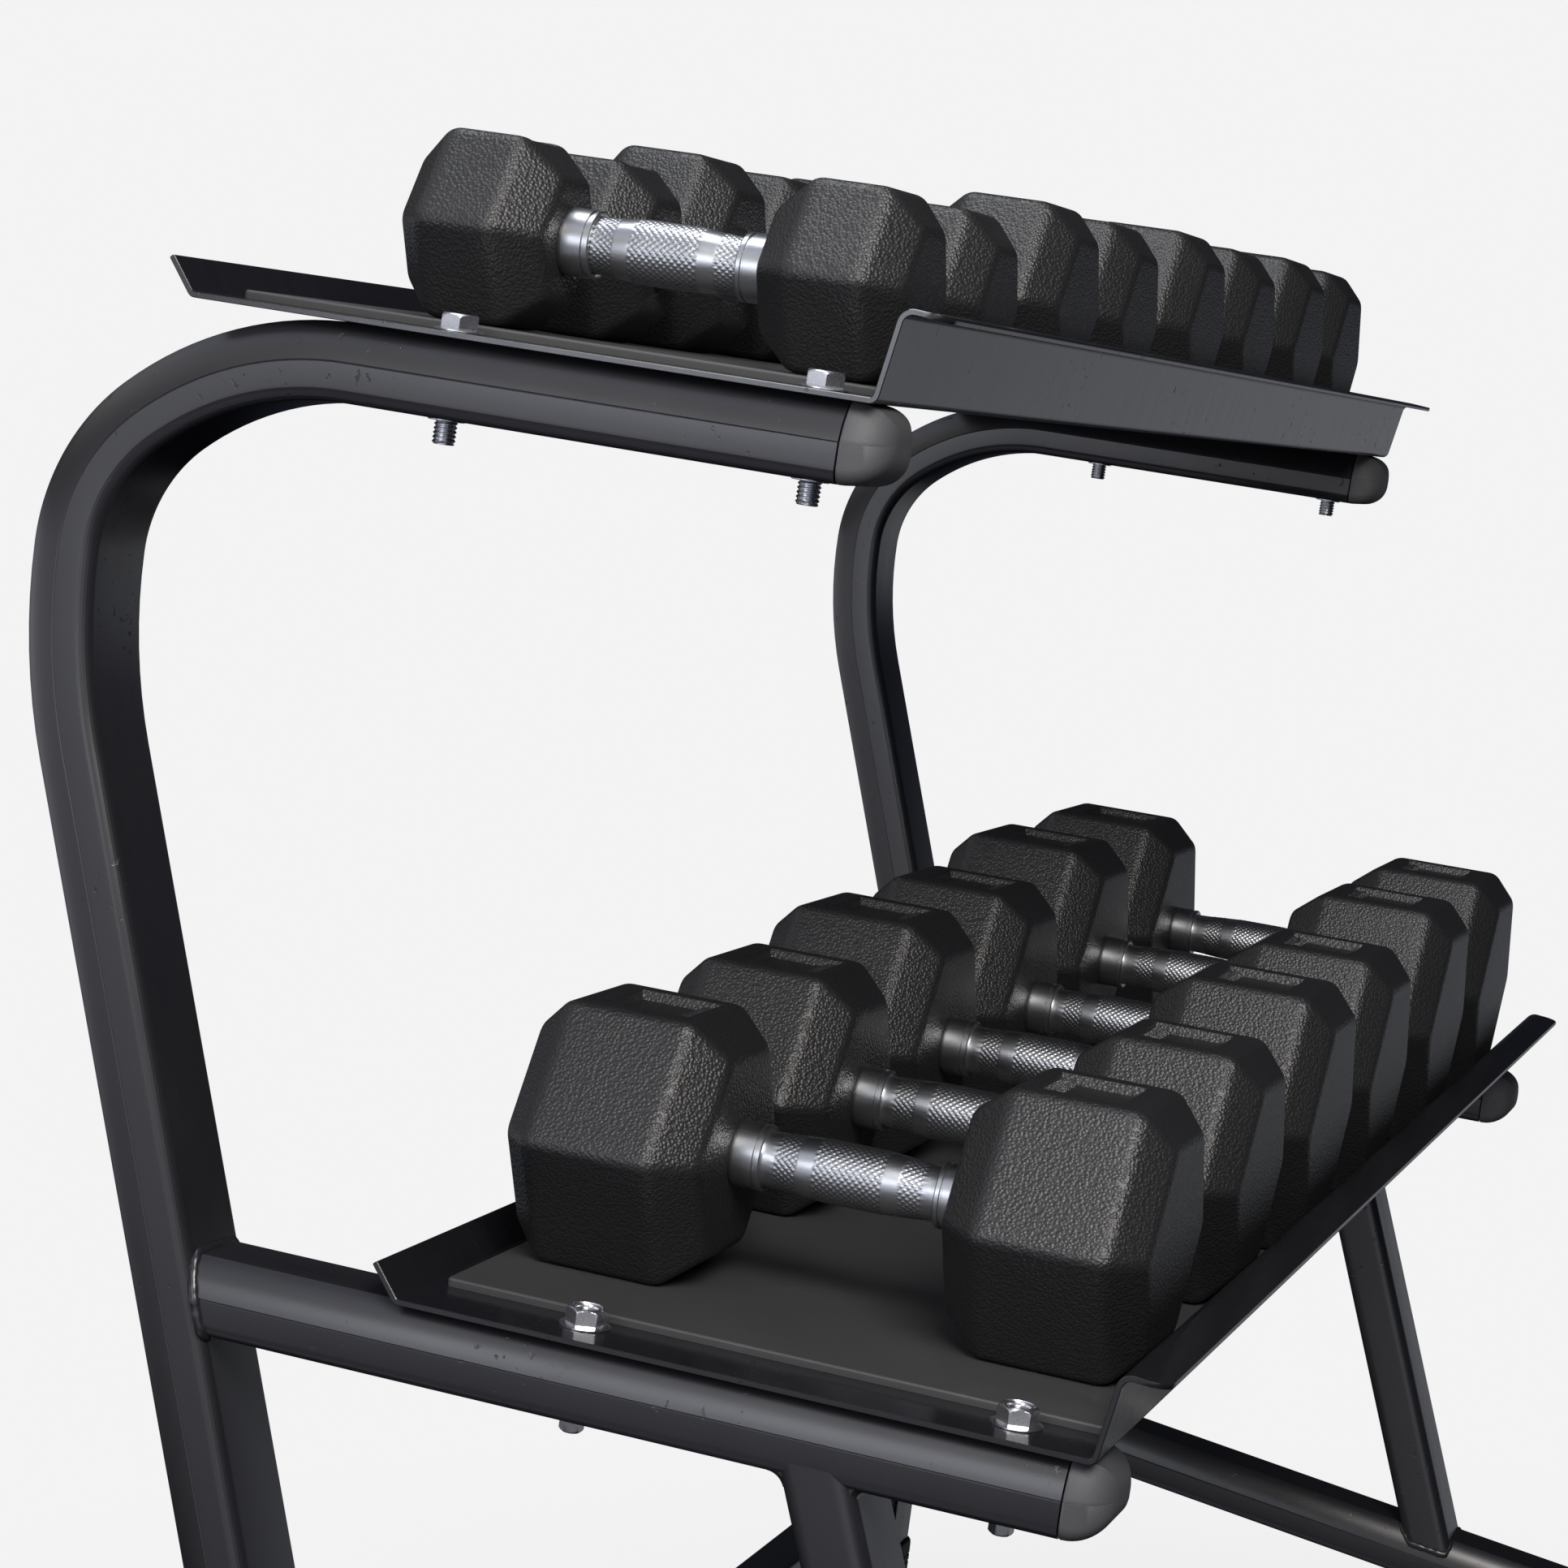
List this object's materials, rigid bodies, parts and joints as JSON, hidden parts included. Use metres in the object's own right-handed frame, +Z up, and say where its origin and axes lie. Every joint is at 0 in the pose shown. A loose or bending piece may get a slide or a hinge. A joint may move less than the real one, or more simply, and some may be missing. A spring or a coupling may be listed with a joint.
{
  "type": "dumbbell rack",
  "caption": "Two-tier steel rack with forward-sloping trays on bent side frames, loaded with hex dumbbells that lift off.",
  "frame": {"origin": "centre of the bounding box in plan, at floor level", "axes": "+X along the rack, to the right when seen from the front; the front faces -Y; +Z up"},
  "size_m": [1.3804, 0.6741, 1.1345],
  "materials": {
    "frame_paint": "satin black powder coat",
    "tray_paint": "satin black powder coat",
    "cap_plastic": "smooth dark grey",
    "mat_rubber": "matt dark grey sheet",
    "foot_rubber": "matt black",
    "zinc_hardware": "bright zinc plate",
    "head_coating": "black grained rubber coating over a cast iron core",
    "handle_chrome": "satin chrome with knurled bands"
  },
  "bodies": {
    "rack": {"left_upright": "frame_paint", "right_upright": "frame_paint", "left_mid_arm": "frame_paint", "right_mid_arm": "frame_paint", "left_front_leg": "frame_paint", "right_front_leg": "frame_paint", "left_base_rail": "frame_paint", "right_base_rail": "frame_paint", "left_upper_cap": "cap_plastic", "right_upper_cap": "cap_plastic", "left_mid_cap": "cap_plastic", "right_mid_cap": "cap_plastic", "left_base_cap": "cap_plastic", "right_base_cap": "cap_plastic", "left_front_foot": "foot_rubber", "right_front_foot": "foot_rubber", "left_rear_foot": "foot_rubber", "right_rear_foot": "foot_rubber", "cross_tube": "frame_paint", "cross_plates": "frame_paint", "cross_bolts": "zinc_hardware", "cross_nuts": "zinc_hardware", "upper_tray": "tray_paint", "lower_tray": "tray_paint", "upper_mat": "mat_rubber", "lower_mat": "mat_rubber", "upper_bolts": "zinc_hardware", "upper_inserts": "zinc_hardware", "lower_bolts": "zinc_hardware", "lower_nuts": "zinc_hardware"},
    "big1": {"big1_heads": "head_coating", "big1_handle": "handle_chrome"},
    "big2": {"big2_heads": "head_coating", "big2_handle": "handle_chrome"},
    "big3": {"big3_heads": "head_coating", "big3_handle": "handle_chrome"},
    "big4": {"big4_heads": "head_coating", "big4_handle": "handle_chrome"},
    "big5": {"big5_heads": "head_coating", "big5_handle": "handle_chrome"},
    "big6": {"big6_heads": "head_coating", "big6_handle": "handle_chrome"},
    "small1": {"small1_heads": "head_coating", "small1_handle": "handle_chrome"},
    "small2": {"small2_heads": "head_coating", "small2_handle": "handle_chrome"},
    "small3": {"small3_heads": "head_coating", "small3_handle": "handle_chrome"},
    "small4": {"small4_heads": "head_coating", "small4_handle": "handle_chrome"},
    "small5": {"small5_heads": "head_coating", "small5_handle": "handle_chrome"},
    "small6": {"small6_heads": "head_coating", "small6_handle": "handle_chrome"},
    "small7": {"small7_heads": "head_coating", "small7_handle": "handle_chrome"},
    "small8": {"small8_heads": "head_coating", "small8_handle": "handle_chrome"}
  },
  "joints": [
    {"name": "big1_lift", "type": "slide", "parent": "rack", "child": "big1", "axis": [0, 0, 1], "range_m": [0, 0.15]},
    {"name": "big2_lift", "type": "slide", "parent": "rack", "child": "big2", "axis": [0, 0, 1], "range_m": [0, 0.15]},
    {"name": "big3_lift", "type": "slide", "parent": "rack", "child": "big3", "axis": [0, 0, 1], "range_m": [0, 0.15]},
    {"name": "big4_lift", "type": "slide", "parent": "rack", "child": "big4", "axis": [0, 0, 1], "range_m": [0, 0.15]},
    {"name": "big5_lift", "type": "slide", "parent": "rack", "child": "big5", "axis": [0, 0, 1], "range_m": [0, 0.15]},
    {"name": "big6_lift", "type": "slide", "parent": "rack", "child": "big6", "axis": [0, 0, 1], "range_m": [0, 0.15]},
    {"name": "small1_lift", "type": "slide", "parent": "rack", "child": "small1", "axis": [0, 0, 1], "range_m": [0, 0.15]},
    {"name": "small2_lift", "type": "slide", "parent": "rack", "child": "small2", "axis": [0, 0, 1], "range_m": [0, 0.15]},
    {"name": "small3_lift", "type": "slide", "parent": "rack", "child": "small3", "axis": [0, 0, 1], "range_m": [0, 0.15]},
    {"name": "small4_lift", "type": "slide", "parent": "rack", "child": "small4", "axis": [0, 0, 1], "range_m": [0, 0.15]},
    {"name": "small5_lift", "type": "slide", "parent": "rack", "child": "small5", "axis": [0, 0, 1], "range_m": [0, 0.15]},
    {"name": "small6_lift", "type": "slide", "parent": "rack", "child": "small6", "axis": [0, 0, 1], "range_m": [0, 0.15]},
    {"name": "small7_lift", "type": "slide", "parent": "rack", "child": "small7", "axis": [0, 0, 1], "range_m": [0, 0.15]},
    {"name": "small8_lift", "type": "slide", "parent": "rack", "child": "small8", "axis": [0, 0, 1], "range_m": [0, 0.15]}
  ]
}
